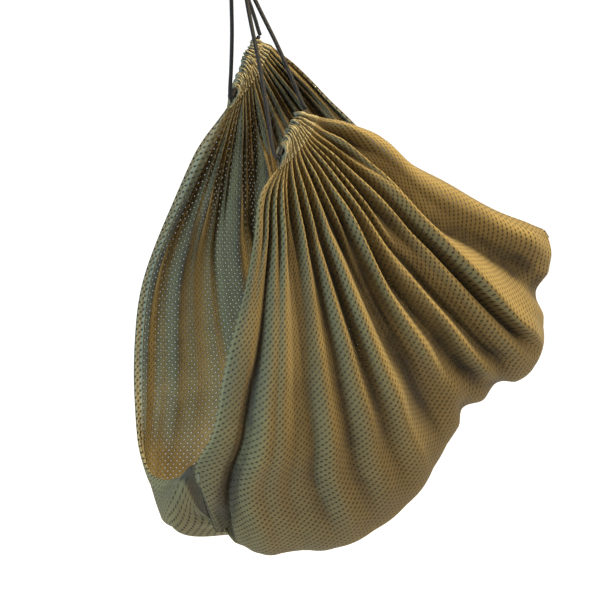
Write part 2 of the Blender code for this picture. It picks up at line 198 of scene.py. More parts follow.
def tube(path, radius, away, sides):
    # Rings square to a path, turned from a fixed direction, with both ends drawn in to a point
    along = unit(np.gradient(path, axis=0))
    tips = radius * np.array(tipOut)[:, None]
    path = np.vstack([path[:1] - along[:1] * tips, path, path[-1:] + along[-1:] * tips[::-1]])
    along = np.vstack([along[:1], along[:1], along, along[-1:], along[-1:]])
    radius = radius * np.concatenate([tipWide, np.ones(len(path) - 4), tipWide[::-1]])
    side = squareTo(np.broadcast_to(away, path.shape), along)
    other = np.cross(along, side)
    turn = np.linspace(0, 2 * np.pi, sides, endpoint=False)
    ring = side[:, None] * np.cos(turn)[None, :, None] + other[:, None] * np.sin(turn)[None, :, None]
    points = (path[:, None] + ring * radius[:, None, None]).reshape(-1, 3)
    uv = np.stack(np.meshgrid(runOf(path), np.linspace(0, 1, sides + 1), indexing="ij")[::-1], axis=-1)
    return [points, quads(len(path), sides, closed=True), cornerUv(uv), np.zeros(len(points))]


def spaced(path, step):
    # The same path with its points a step apart
    run = runOf(path)
    return readAt(np.linspace(0, run[-1], max(3, int(round(run[-1] / step)) + 1)), run, path)


# A stitch's rings: their places along it, and their widths and heights as shares of the radius
stitch = {
    "at": (-0.5, -0.25, 0.25, 0.5), "wide": (0.15, 1, 1, 0.15), "rise": (-0.6, 0.5, 0.5, -0.6),
    "sides": 6,
}


def stitches(path, normal, long, pitch, radius):
    # Short threads laid along a path, each a few rings that sink at both its ends
    run = runOf(path)
    middle = np.arange(pitch / 2, run[-1] - pitch / 2, pitch)
    at = middle[:, None] + np.array(stitch["at"]) * long
    spot, up = readAt(at, run, path), unit(readAt(at, run, normal))
    side = unit(np.cross(unit(spot[:, -1:] - spot[:, :1]), up))
    turn = np.linspace(0, 2 * np.pi, stitch["sides"], endpoint=False)[:, None]
    wide = np.array(stitch["wide"])[:, None, None] * radius
    rise = np.array(stitch["rise"])[:, None] * radius
    ring = side[:, :, None] * np.cos(turn) + up[:, :, None] * np.sin(turn)
    points = (spot + up * rise)[:, :, None] + ring * wide
    count, rings, sides = points.shape[:3]
    one = quads(rings, sides, closed=True)[None]
    face = (one + np.arange(count)[:, None, None] * rings * sides).reshape(-1, 4)
    return [points.reshape(-1, 3), face, np.zeros((len(face), 4, 2)), np.zeros(count * rings * sides)]


# Shader nodes


def link(value, socket):
    socket.id_data.links.new(value, socket)


def node(tree, kind, inputs=None, **settings):
    made = tree.nodes.new("ShaderNode" + kind)
    for key, value in settings.items():
        setattr(made, key, value)
    for key, value in (inputs or {}).items():
        if isinstance(value, bpy.types.NodeSocket):
            link(value, made.inputs[key])
        else:
            made.inputs[key].default_value = value
    return made


def maths(operation, a, b=0.0):
    # Made in the tree of whichever value is a socket
    tree = (a if isinstance(a, bpy.types.NodeSocket) else b).id_data
    return node(tree, "Math", {0: a, 1: b}, operation=operation).outputs[0]


def times(a, b):
    return maths("MULTIPLY", a, b)


def plus(a, b):
    return maths("ADD", a, b)


def minus(a, b):
    return maths("SUBTRACT", a, b)


def between(value, low, high, toLow=0.0, toHigh=1.0):
    # Eases a value from one range to another
    inputs = {"Value": value, "From Min": low, "From Max": high, "To Min": toLow, "To Max": toHigh}
    return node(value.id_data, "MapRange", inputs, interpolation_type="SMOOTHSTEP").outputs[0]


def blended(share, a, b):
    # A mix of two colours: the factor and the colours are the node's sockets 0, 6 and 7
    return node(share.id_data, "Mix", {0: share, 6: a, 7: b}, data_type="RGBA").outputs[2]


def rgba(colour, strength=1.0):
    return (*[strength * x for x in colour], 1)


def group(name, inputs, outputs):
    # An empty node group. A default of None makes a vector, one number a float and four a colour
    tree = bpy.data.node_groups.new(name, "ShaderNodeTree")
    for socketName, value in inputs.items():
        kind = "Vector" if value is None else "Float" if isinstance(value, float) else "Color"
        socket = tree.interface.new_socket(socketName, in_out="INPUT", socket_type="NodeSocket" + kind)
        if value is not None:
            socket.default_value = value
    for socketName, kind in outputs.items():
        tree.interface.new_socket(socketName, in_out="OUTPUT", socket_type="NodeSocket" + kind)
    return tree, tree.nodes.new("NodeGroupInput").outputs, tree.nodes.new("NodeGroupOutput").inputs


def placed(tree, grouped, inputs):
    # The outputs of a node group placed in a tree
    return node(tree, "Group", inputs, node_tree=grouped).outputs


def slotHoles():
    # Rows of short slots, every other row moved along by half a space. Hole is 1 inside a slot,
    # and Rim fades from 1 at its edge to 0 a little way out
    sizes = {"Across": 0.009, "Down": 0.0035, "Long": 0.0021, "Wide": 0.0013, "Slant": 0.0}
    tree, given, out = group("slotHoles", {"Cloth": None, **sizes}, {"Hole": "Float", "Rim": "Float"})
    x, y, _ = node(tree, "SeparateXYZ", {0: given["Cloth"]}).outputs
    rows = maths("DIVIDE", y, given["Down"])
    odd = maths("MODULO", maths("FLOOR", rows), 2.0)
    columns = plus(maths("DIVIDE", x, given["Across"]), times(odd, 0.5))

    def fromMiddle(cells, size):
        return times(minus(maths("FRACT", cells), 0.5), size)

    def reach(value, size, power):
        # The share of half a slot's size, raised to a power, for a rounded oblong
        share = maths("DIVIDE", value, times(size, 0.5))
        return maths("POWER", maths("ABSOLUTE", share), power)

    x, y = fromMiddle(columns, given["Across"]), fromMiddle(rows, given["Down"])
    y = plus(y, times(x, given["Slant"]))
    far = plus(reach(x, given["Long"], 2.6), reach(y, given["Wide"], 2.2))
    link(between(far, 0.8, 1.15, 1.0, 0.0), out["Hole"])
    link(between(far, 1.0, 5.0, 1.0, 0.0), out["Rim"])
    return tree


def knitLoops():
    # Columns of loops pulled into rows: a rounded wave across plus one along, its rows bent between columns
    sizes = {"Wale": 0.00112, "Course": 0.00088}
    tree, given, out = group("knitLoops", {"Cloth": None, **sizes}, {"Height": "Float"})
    x, y, _ = node(tree, "SeparateXYZ", {0: given["Cloth"]}).outputs
    wale = times(maths("DIVIDE", x, given["Wale"]), 6.2832)
    course = times(maths("DIVIDE", y, given["Course"]), 6.2832)
    bent = plus(course, times(maths("COSINE", wale), 1.1))
    loop = times(maths("ABSOLUTE", maths("SINE", times(wale, 0.5))), 0.6)
    yarn = times(plus(maths("SINE", bent), 1.0), 0.2)
    link(plus(loop, yarn), out["Height"])
    return tree


def dyeFadeAndShade():
    # Dyed cloth: broad and fine mottling by noise, paler on the crests of its folds, partly by fading and
    # partly as a painted highlight, and darker in them as painted shade
    # Deep is the colour of the painted shade in the troughs
    colours = {"Dye": (0.2, 0.17, 0.09, 1), "Faded": (0.3, 0.27, 0.16, 1), "Deep": (0.1, 0.08, 0.04, 1)}
    shares = {"FoldLightShade": 0.0, "FadeAndHighlight": 0.45, "Shading": 0.9, "Mottle": 0.25}
    outputs = {"Colour": "Color", "Cloudy": "Float"}
    tree, given, out = group("dyeFadeAndShade", {"Point": None, **colours, **shares}, outputs)
    point, pale = given["Point"], given["Faded"]
    broad = node(tree, "TexNoise", {"Vector": point, "Scale": 9.0, "Detail": 3.0}).outputs[0]
    fine = node(tree, "TexNoise", {"Vector": point, "Scale": 70.0, "Detail": 4.0}).outputs[0]
    cloudy = plus(times(broad, 0.6), times(fine, 0.4))
    crest = between(given["FoldLightShade"], 0.0, 1.0)
    trough = between(given["FoldLightShade"], 0.0, -0.65)
    # Paler crests: partly fading, partly painted highlight
    colour = blended(times(crest, given["FadeAndHighlight"]), given["Dye"], pale)
    # Painted shade in the troughs
    colour = blended(times(trough, given["Shading"]), colour, given["Deep"])
    patch = times(between(cloudy, 0.42, 0.62), given["Mottle"])
    link(blended(patch, colour, pale), out["Colour"])
    link(cloudy, out["Cloudy"])
    return tree


def braidedSheath():
    # Strands that cross round a cord: two sets of slanting rounded ridges, each on top in turn, with a mask
    # of the grooves between them for painted shade
    inputs = {"Cord": None, "Strands": 8.0, "Pitch": 0.0085}
    tree, given, out = group("braidedSheath", inputs, {"Height": "Float", "GrooveShade": "Float"})
    x, y, _ = node(tree, "SeparateXYZ", {0: given["Cord"]}).outputs
    around = times(x, given["Strands"])
    along = times(maths("DIVIDE", y, given["Pitch"]), given["Strands"])
    first, second = (
        maths("ABSOLUTE", maths("SINE", times(maths(way, around, along), 3.14159)))
        for way in ("ADD", "SUBTRACT")
    )
    over = maths("SINE", times(around, 6.28318))
    over = times(over, maths("SINE", times(along, 6.28318)))
    share = between(over, -0.2, 0.2)
    second = times(second, minus(1.0, share))
    height = plus(times(first, share), second)
    link(height, out["Height"])
    link(between(height, 0.15, 0.6, 1.0, 0.0), out["GrooveShade"])
    return tree


slotGroup, knitGroup, dyeGroup, braidGroup = slotHoles(), knitLoops(), dyeFadeAndShade(), braidedSheath()


def newMaterial(name, look):
    # A material with the look's constants on the shader's own sockets
    made = bpy.data.materials.new(name)
    made.use_nodes = True
    shader = made.node_tree.nodes["Principled BSDF"]
    for key in ("Roughness", "Sheen Weight", "Sheen Roughness", "Specular IOR Level", "Sheen Tint"):
        if key in look:
            shader.inputs[key].default_value = look[key]
    return made, made.node_tree, shader


def ownUv(tree):
    return node(tree, "UVMap", uv_map="cloth").outputs[0]


def finished(look, shader, colour, roughness, height):
    # Links the varying colour and roughness, and a bump made from a height
    bump = {"Height": height, "Strength": look["bump"], "Distance": look["bumpDepth"]}
    normal = node(height.id_data, "Bump", bump).outputs[0]
    for name, value in (("Base Color", colour), ("Roughness", roughness), ("Normal", normal)):
        link(value, shader.inputs[name])


clothLook = {
    # deep is the colour of the painted shade in the troughs, round the slots and in the slots of doubled
    # cloth
    "dye": (0.136, 0.103, 0.046), "faded": (0.288, 0.224, 0.096), "deep": (0.022, 0.015, 0.007),
    "Roughness": 0.74, "rougher": (-0.05, 0.06), "Specular IOR Level": 0.35,
    "Sheen Weight": 0.12, "Sheen Roughness": 0.45, "Sheen Tint": (0.85, 0.80, 0.62, 1),
    "slots": {"Across": 0.0085, "Down": 0.0036, "Long": 0.0024, "Wide": 0.0016, "Slant": 0.45},
    "holeOpen": 0.5, "holeShade": 0.5, "rimShade": 0.7, "rimDeep": 1.2, "bump": 0.6, "bumpDepth": 0.00014,
}
# The hems, casings and seam allowances are paler than the cloth: partly worn edges, partly painted light
hemLook = {**clothLook, "dye": (0.230, 0.204, 0.128), "faded": (0.400, 0.370, 0.260)}


def clothMaterial(name, look, single):
    # Knit cloth on its own UV in metres. Single cloth lets light through its slots, and doubled cloth
    # shows them in painted shade
    made, tree, shader = newMaterial(name, look)
    place = ownUv(tree)
    point = node(tree, "TexCoord").outputs["Object"]
    # The mask of painted light and shade along the folds
    foldLightShade = node(tree, "Attribute", attribute_name="foldLightShade").outputs["Fac"]
    holes = placed(tree, slotGroup, {"Cloth": place, **look["slots"]})
    knit = placed(tree, knitGroup, {"Cloth": place})["Height"]
    colours = {key: rgba(look[key.lower()]) for key in ("Dye", "Faded", "Deep")}
    dyed = placed(tree, dyeGroup, {"Point": point, "FoldLightShade": foldLightShade, **colours})
    # Painted shade round the edge of each slot
    rim = times(holes["Rim"], look["rimShade"])
    colour = blended(rim, dyed["Colour"], colours["Deep"])
    if single:
        seeThrough = times(holes["Hole"], look["holeOpen"])
        link(minus(1.0, seeThrough), shader.inputs["Alpha"])
    else:
        # Painted shade in the slots of doubled cloth
        colour = blended(holes["Hole"], colour, rgba(look["deep"], look["holeShade"]))
    rough = between(dyed["Cloudy"], 0.3, 0.7, *[look["Roughness"] + more for more in look["rougher"]])
    high = minus(knit, times(holes["Rim"], look["rimDeep"]))
    finished(look, shader, colour, rough, high)
    return made


cordLook = {
    "black": (0.006, 0.006, 0.008), "worn": (0.012, 0.011, 0.015),
    "grooveShade": (0.002, 0.002, 0.003), "Sheen Weight": 0.03, "Sheen Roughness": 0.4,
    "Sheen Tint": (0.7, 0.68, 0.8, 1), "Specular IOR Level": 0.25, "bump": 0.8,
    "wear": {"Scale": 300.0, "Detail": 2.0}, "mostWorn": 0.5, "rough": (0.75, 0.55), "bumpDepth": 0.0004,
}


def cordMaterial(look):
    # A black braid on the cord's own UV: turns round it one way, metres along it the other
    made, tree, shader = newMaterial("blackBraid", look)
    place = ownUv(tree)
    braid = placed(tree, braidGroup, {"Cord": place})
    worn = node(tree, "TexNoise", {"Vector": place, **look["wear"]}).outputs[0]
    black = blended(between(worn, 0.5, 0.8, 0.0, look["mostWorn"]), rgba(look["black"]), rgba(look["worn"]))
    # Painted shade in the grooves between the strands
    colour = blended(braid["GrooveShade"], black, rgba(look["grooveShade"]))
    rough = between(braid["Height"], 0.0, 1.0, *look["rough"])
    finished(look, shader, colour, rough, braid["Height"])
    return made


threadLook = {
    "thread": (0.20, 0.17, 0.10), "plyShade": 0.6, "Sheen Weight": 0.2,
    "Specular IOR Level": 0.4, "bump": 0.5, "bumpDepth": 0.0001, "rough": (0.62, 0.45),
    "twist": (0.6, 0.5, 0.3), "ply": {"Scale": 900.0, "Distortion": 0.5},
}


def threadMaterial(look):
    # Twisted thread: slanting ridges by position, darker where the ridges are low as painted shade in their
    # grooves
    made, tree, shader = newMaterial("oliveThread", look)
    point = node(tree, "TexCoord").outputs["Object"]
    turned = node(tree, "Mapping", {"Vector": point, "Rotation": look["twist"]}).outputs[0]
    ply = node(tree, "TexWave", {"Vector": turned, **look["ply"]}).outputs[1]
    # Painted shade in the low parts of the twist
    colour = blended(ply, rgba(look["thread"], look["plyShade"]), rgba(look["thread"]))
    rough = between(ply, 0.0, 1.0, *look["rough"])
    finished(look, shader, colour, rough, ply)
    return made


meshCloth = clothMaterial("oliveMesh", clothLook, single=True)
hemCloth = clothMaterial("oliveHem", hemLook, single=False)
blackBraid, oliveThread = cordMaterial(cordLook), threadMaterial(threadLook)
print("stage: materials made")

# The cloth

sling = {
    "drop": 0.165, "length": 0.400, "width": 0.200, "height": 0.475, "thickness": 0.0009,
    "clothWidth": 0.600, "clothLength": 0.940, "casingDepth": 0.015, "seamInset": 0.0007,
    # The sheet's rows and columns, and the columns added in a share of the width beside each side hem
    "rows": {"front": 140, "back": 120}, "rowsCloser": 1.7,
    "evenColumns": 284, "edgeColumns": 12, "edgeShare": 0.03,
    # How far each half bulges, and that bulge's scale and its powers down and across
    "bulge": {"front": -0.038, "back": 0.028}, "bulgeShape": (2.74, 0.55, 0.6),
    # The back's lip hangs one way and swings another. Each is moved so far, between its places across
    # and down, and has the powers that lean it across and down and those that round it
    "lips": (
        {"far": 0.069, "way": (-0.35, 0.40, -0.90), "across": 0.276, "down": (0.454, 0.967),
         "lean": (0.7, 2.0), "round": (0.9, 0.5, 1.3)},
        {"far": 0.035, "way": (-0.80, 0.50, 0.00), "across": 0.280, "down": (0.45, 1.00),
         "lean": (1.0, 1.7), "round": (0.8, 0.0, 1.0)},
    ),
    # Each gather's length and direction, and the ways of the cloth at its start, middle and end
    "gather": {"front": 0.0455, "back": 0.0575},
    "gatherAlong": {"front": (0.616, 0.462, 0.638), "back": (0.504, 0.278, 0.817)},
    "fan": {
        "front": ((-0.25, -0.22, -0.94), (0.43, -0.39, -0.82), (0.96, 0.13, -0.26)),
        "back": ((-0.32, 0.04, -0.95), (0.52, 0.14, -0.84), (0.93, -0.10, -0.36)),
    },
    # Places, in thousandths of the sling's length, width and height, down to a point well inside it
    "gatherAt": {"front": (88, -372.5, 45), "back": (89, 387.5, -22)},
    "mouth": {
        "front": (
            (2, -465, 150), (-20, -490, 240), (-57, -500, 374), (-100, -485, 531), (-127, -425, 664),
        ),
        "back": (
            (-17, 360, 133), (-94, 390, 264), (-173, 420, 424), (-200, 420, 560), (-208, 390, 695),
            (-214, 290, 790), (-208, 150, 822), (-195, 0, 815), (-176, -175, 783),
        ),
    },
    "ridge": {
        "front": (
            (234, -290, 50), (312, -270, 78), (411, -235, 144), (552, -180, 220), (670, -130, 281),
            (752, -85, 316),
        ),
        "back": (
            (272, 395, 34), (354, 360, 106), (485, 300, 215), (610, 230, 295), (728, 125, 338),
        ),
    },
    "mouthSeam": ((-155, -340, 731), (-116, -225, 856), (-83, -140, 922)),
    "keel": (
        (-24, -140, 951), (45, -135, 986), (154, -120, 999), (272, -110, 996), (381, -105, 957),
        (473, -95, 896), (537, -85, 815), (582, -70, 755), (633, -60, 713), (713, -45, 682),
        (785, -30, 655), (818, -20, 595), (820, -20, 500), (831, -20, 406), (810, -25, 341),
    ),
    "inside": (20, 80, 700),
    # The main folds, a crest or a trough in each row: its places across the cloth, in thousandths, and
    # its heights, in tenths of a millimetre, at the six places down the cloth in foldsAt
    "foldTaller": {"front": 1.45, "back": 1.05}, "foldsFrom": 0.02,
    "foldsAt": (0.08, 0.20, 0.30, 0.45, 0.65, 0.85),
    "folds": {
        "front": (
            (30, 30, 34, 40, 44, 44, 10, 15, 20, 25, 15, 15),
            (85, 85, 85, 80, 70, 68, -15, -25, -30, -20, -5, 0),
            (180, 155, 150, 145, 120, 105, 25, 30, 35, 50, 35, 15),
            (245, 212, 212, 220, 235, 248, -25, -30, -25, -30, -40, -25),
            (280, 278, 275, 272, 275, 285, 25, 25, 20, 25, 25, 20),
            (320, 304, 312, 315, 316, 335, -25, -35, -35, -35, -40, -25),
            (355, 336, 350, 364, 372, 378, 25, 25, 30, 35, 30, 15),
            (392, 372, 383, 394, 404, 410, -25, -40, -50, -55, -40, -25),
            (423, 413, 428, 438, 456, 462, 25, 35, 45, 55, 60, 45),
            (478, 458, 482, 500, 515, 522, -25, -45, -70, -85, -70, -40),
            (497, 494, 510, 522, 535, 545, 15, 0, -50, -50, -35, -20),
            (523, 534, 530, 532, 550, 560, -35, -65, -35, -15, 5, 5),
            (567, 572, 565, 559, 578, 592, 25, 50, 60, 65, 70, 50),
            (590, 590, 588, 594, 616, 632, -20, -30, -40, -65, -80, -80),
            (623, 620, 630, 642, 661, 671, 25, 40, 50, 55, 60, 50),
            (642, 638, 648, 670, 687, 696, -25, -30, -35, -65, -85, -80),
            (659, 655, 668, 694, 708, 714, 25, 40, 25, -15, -35, -40),
            (680, 682, 706, 716, 720, 724, -40, -80, -60, 5, 0, 0),
            (722, 728, 739, 746, 742, 742, 30, 50, 55, 60, 60, 55),
            (744, 748, 756, 766, 768, 768, -25, -35, -50, -80, -95, -85),
            (847, 823, 813, 808, 795, 784, 40, 80, 95, 110, 110, 80),
            (885, 850, 842, 842, 885, 908, -30, -60, -70, -60, -80, -90),
            (965, 935, 932, 948, 965, 965, 30, 60, 70, 60, 60, 50),
        ),
        "back": (
            (35, 35, 32, 30, 30, 30, -25, -40, -50, -30, 0, 0),
            (75, 78, 70, 60, 60, 60, 25, 50, 60, 30, 0, 0),
            (150, 140, 120, 110, 105, 100, -30, -50, -50, -30, 0, 0),
            (245, 262, 240, 230, 225, 220, 50, 80, 80, 50, 10, 0),
            (315, 312, 300, 295, 290, 285, -30, -50, -50, -40, -20, 0),
            (440, 400, 370, 360, 355, 350, 60, 90, 80, 60, 40, 20),
            (520, 455, 425, 420, 420, 420, -40, -60, -60, -60, -40, -20),
            (565, 540, 520, 515, 515, 515, 30, 60, 70, 60, 50, 30),
            (630, 620, 610, 610, 610, 610, -40, -70, -80, -80, -60, -30),
            (715, 712, 705, 700, 700, 700, 40, 70, 70, 70, 50, 30),
            (790, 785, 780, 775, 770, 770, -40, -60, -80, -80, -60, -30),
            (870, 868, 860, 850, 845, 840, 50, 80, 80, 70, 50, 30),
            (930, 930, 925, 920, 918, 915, -30, -50, -60, -60, -40, -20),
            (968, 968, 966, 965, 965, 965, 20, 30, 30, 30, 20, 10),
        ),
    },
    # How far the keel stands out of its line, in millimetres, at places along it
    "keelLobes": (
        (0, 0), (0.026, -5), (0.05, 1), (0.12, 1.5), (0.165, -2), (0.23, 1.5), (0.4, 0.5), (0.5, -0.5),
        (0.56, 1.5), (0.592, -7.5), (0.63, 2), (0.664, -7.5), (0.705, 2.5), (0.765, 4), (0.83, 1.5),
        (0.88, -9), (0.92, 2), (0.955, 4), (0.985, 3.5), (1, 1),
    ),
    # The crease beside the front's strip: places down the cloth, its place across and its depth there
    "crease": (
        (0.3, 0.092, 0), (0.37, 0.085, 2), (0.44, 0.078, 5), (0.5, 0.07, 8), (0.6, 0.065, 11),
        (0.67, 0.066, 13), (0.76, 0.07, 14), (0.83, 0.056, 14), (0.96, 0.028, 12), (1, 0.026, 9),
    ),
    "creaseWide": 0.011, "creaseFrom": 0.02,
    # Swells that round off the back's lip: places along and down, half widths, height
    "lipSwells": ((0.095, 0.838, 0.07, 0.035, 6.0), (0.10, 0.935, 0.05, 0.035, -4.0)),
    # The troughs of the fine pleats of each gather, in thousandths across the cloth
    "pleats": {
        "front": (
            -30, 40, 85, 140, 190, 240, 320, 392, 478, 523, 590, 642, 680, 744, 812, 905, 1050,
        ),
        "back": (
            -30, 30, 70, 115, 160, 215, 255, 310, 345, 400, 455, 500, 560, 600, 655, 710, 750, 805, 860,
            900, 950, 1030,
        ),
    },
    # How unlike each other they are, how tall, how much they fade and how sharp they are, then more so
    "pleatSeed": {"front": 3, "back": 7}, "pleatHeights": (0.55, 1.25), "pleatTallest": 0.0062,
    "pleatAtHem": 0.0011, "pleatFade": 0.78, "pleatSharp": (0.35, 0.35), "pleatsLeast": 4.0,
    # Soft ripples: their count, widest and finest, height, and loss beside the mouth
    "softSeed": {"front": 5, "back": 9}, "softWaves": (14, 1.2, 7.0), "softHeight": 0.0016,
    "softLoss": 0.6, "seamSink": 0.0028,
    # Where effects start and over how much they grow: down the cloth, then across it from the mouth's edge
    "down": {
        "normals": (0.8, 0.2), "keel": (0.83, 0.17), "beside": (0.6, 0.15),
        "pleatFade": (0.04, 0.30), "pleatRise": (0.0, 0.10), "pleatSharp": (0.05, 0.25),
        "pleatVary": (0.0, 0.06), "soft": (0.0, 0.3), "seam": (0.80, 0.04),
        "edge": (0.70, 0.06), "round": (0.985, 0.015),
    },
    "besideWide": 0.05, "seamWide": 0.011, "edgeWide": {"front": 0.007, "back": 0.024},
    # The mask of painted light and shade by folds: the heights that count as a whole fold, and the shares of
    # the painted shade along the seam and of the paler edge, partly wear and partly painted light
    "mask": {"main": 0.011, "fine": 0.007, "crease": 0.0048, "seam": 2.4, "edge": 1.5},
}


def placeShares(shares):
    # Thousandths of the sling's length, width and height, as points below the hook
    size = np.array((sling["length"], sling["width"], -sling["height"])) * milli
    return np.asarray(shares, float) * size - np.array((0.0, 0.0, sling["drop"]))


def gatherEnds(side):
    centre = placeShares(sling["gatherAt"][side])
    reach = unit(sling["gatherAlong"][side]) * sling["gather"][side] / 2
    return np.stack([centre - reach, centre + reach])


def fanWays(side, p):
    # From the cord to the stitches: a quadratic blend of three directions
    p = np.asarray(p, float)[:, None]
    first, middle, last = unit(sling["fan"][side])
    return unit(first * (1 - p) ** 2 + middle * 2 * p * (1 - p) + last * p**2)


def hemRow(side, p):
    first, last = gatherEnds(side)
    return first + (last - first) * np.asarray(p, float)[:, None] + fanWays(side, p) * sling["casingDepth"]


mouthSeamLine = placeShares(sling["mouthSeam"])
keelLine = np.vstack([mouthSeamLine[-1:], placeShares(sling["keel"])])


def keelOutward(p):
    # The keel's direction, turned by a quarter in its upright plane
    before, after = np.maximum(p - 0.01, 0), np.minimum(p + 0.01, 1)
    along = smoothCurve(keelLine, after) - smoothCurve(keelLine, before)
    return unit(np.stack([along[:, 2], np.zeros(len(along)), -along[:, 0]], axis=-1))


def gridNormals(grid):
    # Square to both directions of a grid
    return unit(np.cross(np.gradient(grid, axis=1), np.gradient(grid, axis=0)))


def outwardNormals(grid, side):
    # The grid's normals, facing away from the inside of the sling
    normal = gridNormals(grid)
    middle = normal[normal.shape[0] // 2, normal.shape[1] // 2]
    return normal if (middle[1] < 0) == (side == "front") else -normal


def smoothHalf(side, p, q):
    # Straight lines from the hem to the keel, bent to meet both side edges, and swollen between
    # them by powers of sines. The back also hangs out in a lip under the mouth
    front = side == "front"
    near, far = hemRow(side, [0.0, 1.0])
    seamAlong = unit(mouthSeamLine[-1] - mouthSeamLine[0])
    aside = squareTo(np.array((1.0 if front else -1.0, 0.0, 0.0)), seamAlong) * sling["seamInset"]
    mouth, ridge = placeShares(sling["mouth"][side]), placeShares(sling["ridge"][side])
    mouthEdge = smoothCurve(np.vstack([near[None], mouth, mouthSeamLine + aside]), q)
    tailEdge = smoothCurve(np.vstack([far[None], ridge, keelLine[-1:]]), q)
    pp, qq = p[None, :, None], q[:, None, None]
    grid = hemRow(side, p)[None] * (1 - qq) + smoothCurve(keelLine, p)[None] * qq
    grid += (mouthEdge[:, None] - near * (1 - qq) - keelLine[0] * qq) * (1 - pp) ** 2
    grid += (tailEdge[:, None] - far * (1 - qq) - keelLine[-1] * qq) * pp**2
    scale, below, sideways = sling["bulgeShape"]
    swell = scale * qq * (1 - qq) ** below * np.sin(np.pi * pp) ** sideways
    grid[..., 1:2] += swell * sling["bulge"][side]
    if not front:
        for lip in sling["lips"]:
            (first, last), (leanAcross, leanDown) = lip["down"], lip["lean"]
            least, more, below = lip["round"]
            reach = np.clip(pp / lip["across"], 0, 1)
            wide = np.sin(np.pi * reach**leanAcross) ** (least + more * reach)
            low = np.sin(np.pi * np.clip((qq - first) / (last - first), 0, 1) ** leanDown) ** below
            grid += wide * low * lip["far"] * unit(lip["way"])
    return grid


def pleatStep(side, p):
    # How many pleats a place across the cloth is from the first trough
    troughs = np.array(sling["pleats"][side]) * milli
    return np.interp(p, troughs, np.arange(len(troughs)))


def pleatWave(side, p, sharp):
    # From -1 in the troughs to 1 on the crests: a cosine, blended by sharp with the absolute value of
    # a sine, which is pointed in the troughs and round on the crests
    step = pleatStep(side, p)
    wave = -np.cos(2 * np.pi * step)
    return wave + (2 * np.abs(np.sin(np.pi * step)) - 1 - wave) * sharp


def pleatVary(side, p):
    # How tall each pleat is beside the others: seeded heights joined by straight lines
    count = len(sling["pleats"][side])
    heights = np.random.default_rng(sling["pleatSeed"][side]).uniform(*sling["pleatHeights"], count)
    return np.interp(pleatStep(side, p), np.arange(count) + 0.5, heights)


def foldHeight(side, p, q):
    # From each crest or trough to the next, half along a cosine and half along a quarter of a sine
    # that is steepest at the trough, so the troughs are creased and the crests are round
    table = np.array([(0,) * 12, *sling["folds"][side], (1000,) * 6 + (0,) * 6], float)
    count, down = len(table), sling["foldsAt"]
    grown = (sling["foldsFrom"], *down)
    rows = []
    for share in q:
        places = np.array([np.interp(share, down, row) for row in table[:, :6]]) * milli
        heights = np.array([np.interp(share, grown, (0.0, *row)) for row in table[:, 6:]])
        at = np.clip(np.interp(p, places, np.arange(count)), 0, count - 1.001)
        i = at.astype(int)
        t, low, high = at - i, heights[i], heights[i + 1]
        crease = np.where(high > low, np.sin(np.pi / 2 * t), 1 - np.cos(np.pi / 2 * t))
        rows.append(low + (high - low) * (0.5 * crease + 0.25 * (1 - np.cos(np.pi * t))))
    return np.array(rows) * milli / 10 * sling["foldTaller"][side]


def pleatHeight(side, base, p, qq):
    # A pleat is as tall as it must be to take up the width that the gather leaves over: a quarter of
    # its own width times the root of the squared ratio of the cloth's width to the row's, less one.
    # It is at most the tallest, fades down the cloth and starts low at the hem
    rowWidth = np.linalg.norm(np.diff(base, axis=1), axis=2).sum(axis=1)[:, None]
    excess = np.sqrt(np.maximum((sling["clothWidth"] / rowWidth) ** 2 - 1, 0.0))
    pleatWide = rowWidth / np.maximum(np.gradient(pleatStep(side, p), p), sling["pleatsLeast"])[None]
    tall = np.minimum(pleatWide / 4 * excess, sling["pleatTallest"])
    tall = tall * (1 - sling["pleatFade"] * ramp(qq, *sling["down"]["pleatFade"]))
    tall = sling["pleatAtHem"] + (tall - sling["pleatAtHem"]) * ramp(qq, *sling["down"]["pleatRise"])
    return tall * (1 + (pleatVary(side, p)[None] - 1) * ramp(qq, *sling["down"]["pleatVary"]))


